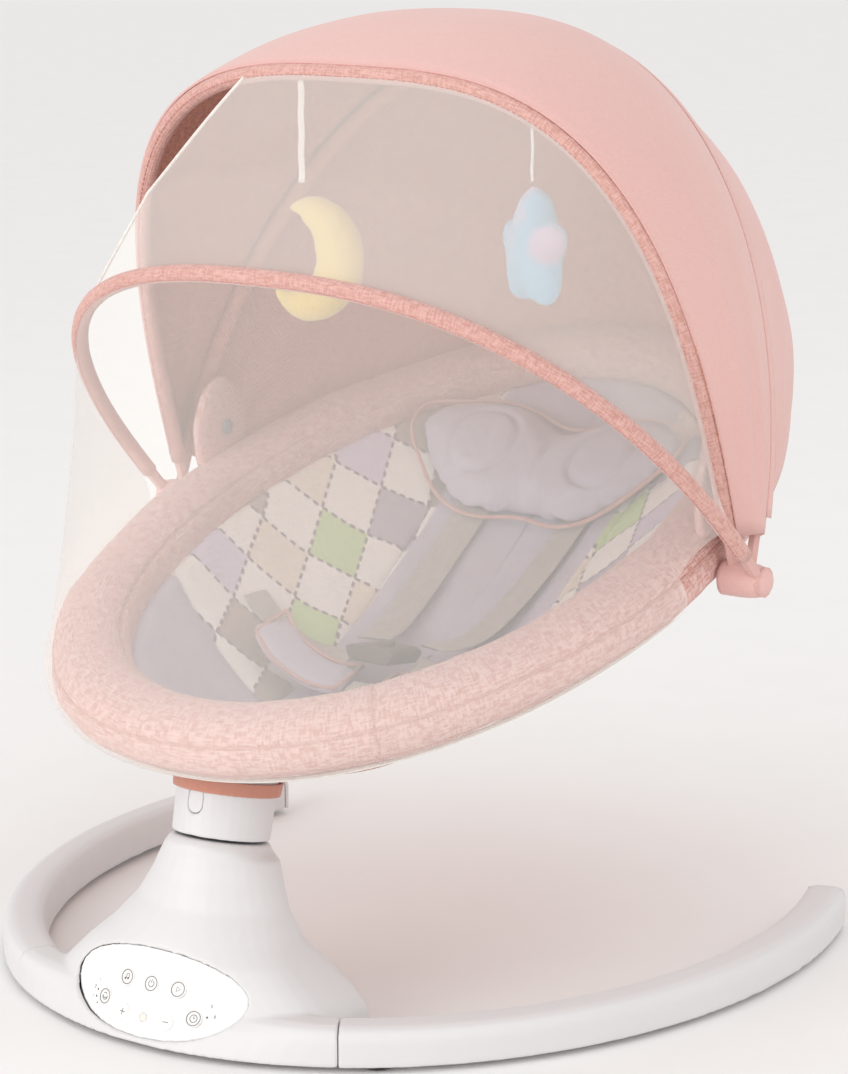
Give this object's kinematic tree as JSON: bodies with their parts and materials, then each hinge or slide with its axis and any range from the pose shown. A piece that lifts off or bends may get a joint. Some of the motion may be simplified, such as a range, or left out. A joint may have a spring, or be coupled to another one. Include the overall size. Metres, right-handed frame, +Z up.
{
  "type": "baby swing",
  "caption": "Baby swing: padded seat on a leaning neck that swings from a C-shaped floor ring, with a folding hood, a net and hanging toys.",
  "frame": {"origin": "bottom centre of the whole, on the floor", "axes": "+Z up, -Y is the front (foot end), +X is to the right seen from the front"},
  "size_m": [0.54, 0.6168, 0.612],
  "materials": {
    "base_shell": "light warm grey satin",
    "panel": "white gloss",
    "key": "white, soft gloss",
    "lens": "clear",
    "rubber": "dark rubber",
    "steel": "bare steel",
    "copper": "copper wire",
    "board": "circuit board",
    "dark_plastic": "black",
    "hood_fabric": "dusty pink smooth cloth",
    "rim_fabric": "pink melange cloth",
    "sling_fabric": "salmon cloth",
    "liner_fabric": "grey lavender cotton with check sides",
    "pillow_fabric": "grey lavender cotton",
    "mesh": "fine white net",
    "webbing": "grey beige webbing",
    "buckle": "dark brown",
    "bow": "white",
    "binding": "pink binding",
    "moon_plush": "yellow plush",
    "star_plush": "light blue plush",
    "ribbon": "white ribbon"
  },
  "bodies": {
    "base": {"base_housing": "base_shell", "base_underplate": "base_shell", "left_leg": "base_shell", "right_leg": "base_shell", "left_leg_cap": "base_shell", "right_leg_cap": "base_shell", "left_front_foot": "rubber", "right_front_foot": "rubber", "left_rear_foot": "rubber", "right_rear_foot": "rubber", "dc_inlet": "dark_plastic", "control_panel": "panel", "indicator_lens": "lens", "control_board": "board", "speaker": "dark_plastic", "upper_bearing": "steel", "lower_bearing": "steel", "drive_coil": "copper"},
    "speed_key": {"speed_key": "key"},
    "music_key": {"music_key": "key"},
    "power_key": {"power_key": "key"},
    "play_key": {"play_key": "key"},
    "timer_key": {"timer_key": "key"},
    "volume_up_key": {"volume_up_key": "key"},
    "volume_down_key": {"volume_down_key": "key"},
    "seat": {"collar": "base_shell", "spindle": "steel", "magnet_arm": "base_shell", "drive_magnet": "steel", "neck_skirt": "sling_fabric", "seat_bracket": "steel", "seat_frame": "steel", "sling": "sling_fabric", "rim_pad": "rim_fabric", "seat_pad": "liner_fabric", "head_pillow": "pillow_fabric", "left_shoulder_strap": "webbing", "right_shoulder_strap": "webbing", "left_waist_strap": "webbing", "right_waist_strap": "webbing", "left_hip_pad": "liner_fabric", "right_hip_pad": "liner_fabric", "crotch_strap": "webbing", "harness_buckle": "buckle", "left_canopy_hinge": "base_shell", "right_canopy_hinge": "base_shell", "canopy_rear": "hood_fabric"},
    "release_button": {"release_button": "base_shell"},
    "canopy_mid": {"mid_bow": "bow", "canopy_front": "hood_fabric"},
    "canopy_visor": {"front_bow": "bow", "upper_net": "mesh"},
    "net_frame": {"net_bow": "binding", "lower_net": "mesh"},
    "moon": {"moon_toy": "moon_plush", "moon_ribbon": "ribbon"},
    "star": {"star_toy": "star_plush", "star_cord": "ribbon"}
  },
  "joints": [
    {"name": "speed_key_press", "type": "slide", "parent": "base", "child": "speed_key", "axis": [0, 0.9063, -0.4226], "range_m": [0, 0.0008], "stiffness_N_per_m": 250, "springref_m": -0.0008},
    {"name": "music_key_press", "type": "slide", "parent": "base", "child": "music_key", "axis": [0, 0.9063, -0.4226], "range_m": [0, 0.0008], "stiffness_N_per_m": 250, "springref_m": -0.0008},
    {"name": "power_key_press", "type": "slide", "parent": "base", "child": "power_key", "axis": [0, 0.9063, -0.4226], "range_m": [0, 0.0008], "stiffness_N_per_m": 250, "springref_m": -0.0008},
    {"name": "play_key_press", "type": "slide", "parent": "base", "child": "play_key", "axis": [0, 0.9063, -0.4226], "range_m": [0, 0.0008], "stiffness_N_per_m": 250, "springref_m": -0.0008},
    {"name": "timer_key_press", "type": "slide", "parent": "base", "child": "timer_key", "axis": [0, 0.9063, -0.4226], "range_m": [0, 0.0008], "stiffness_N_per_m": 250, "springref_m": -0.0008},
    {"name": "volume_up_key_press", "type": "slide", "parent": "base", "child": "volume_up_key", "axis": [0, 0.9063, -0.4226], "range_m": [0, 0.0008], "stiffness_N_per_m": 250, "springref_m": -0.0008},
    {"name": "volume_down_key_press", "type": "slide", "parent": "base", "child": "volume_down_key", "axis": [0, 0.9063, -0.4226], "range_m": [0, 0.0008], "stiffness_N_per_m": 250, "springref_m": -0.0008},
    {"name": "seat_swing", "type": "hinge", "parent": "base", "child": "seat", "pos_m": [0, -0.22042, 0.113], "axis": [0, 0.225, 0.9744], "range_deg": [-11, 11]},
    {"name": "release_press", "type": "slide", "parent": "seat", "child": "release_button", "axis": [0, 0.9744, -0.225], "range_m": [0, 0.0025], "stiffness_N_per_m": 300, "springref_m": -0.001},
    {"name": "canopy_fold", "type": "hinge", "parent": "seat", "child": "canopy_mid", "pos_m": [0, 0.02858, 0.2615], "axis": [-1, 0, 0], "range_deg": [0, 42], "deforming": ["canopy_rear", "canopy_front", "upper_net", "lower_net"]},
    {"name": "visor_fold", "type": "hinge", "parent": "canopy_mid", "child": "canopy_visor", "pos_m": [0, 0.02858, 0.2615], "axis": [-1, 0, 0], "range_deg": [0, 30]},
    {"name": "net_lift", "type": "hinge", "parent": "canopy_visor", "child": "net_frame", "pos_m": [0, 0.02858, 0.2615], "axis": [-1, 0, 0], "range_deg": [0, 16]},
    {"name": "moon_dangle", "type": "hinge", "parent": "canopy_visor", "child": "moon", "pos_m": [-0.042, -0.07648, 0.57366], "axis": [0, 1, 0], "range_deg": [-10, 10]},
    {"name": "star_dangle", "type": "hinge", "parent": "canopy_visor", "child": "star", "pos_m": [0.133, -0.06893, 0.55124], "axis": [0, 1, 0], "range_deg": [-10, 10]}
  ],
  "couplings": [
    {"joint": "visor_fold", "follows": "canopy_fold", "ratio": 0.7142},
    {"joint": "net_lift", "follows": "canopy_fold", "ratio": 0.3809}
  ]
}
